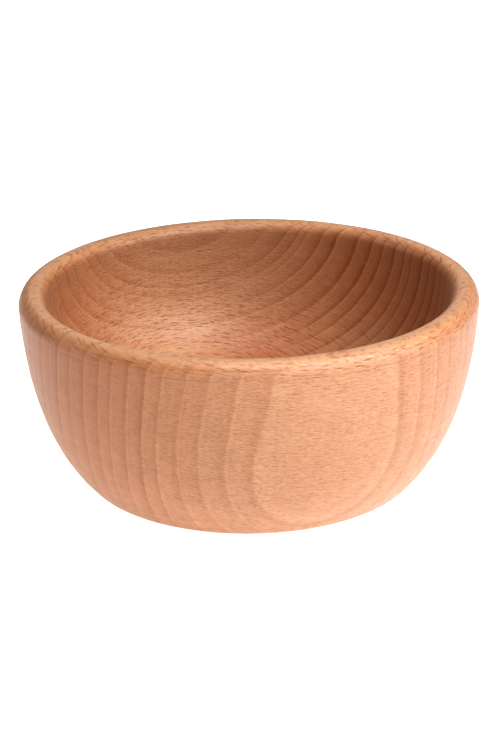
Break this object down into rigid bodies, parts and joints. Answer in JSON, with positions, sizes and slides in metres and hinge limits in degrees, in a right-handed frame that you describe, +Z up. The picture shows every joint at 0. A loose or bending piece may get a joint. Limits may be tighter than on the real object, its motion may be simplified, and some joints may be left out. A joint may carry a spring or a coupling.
{
  "type": "wooden bowl",
  "caption": "Round turned bowl in pale beech with a thick rolled rim, full curved sides, smooth hollow and a flat ring foot.",
  "frame": {"origin": "centre of the foot, on the plane that the bowl stands on", "axes": "+Z up along the bowl's turning axis, X and Y level"},
  "size_m": [0.15, 0.15, 0.066],
  "materials": {
    "beech": "satin, lightly oiled"
  },
  "bodies": {
    "root": {"bowl": "beech"}
  },
  "joints": []
}
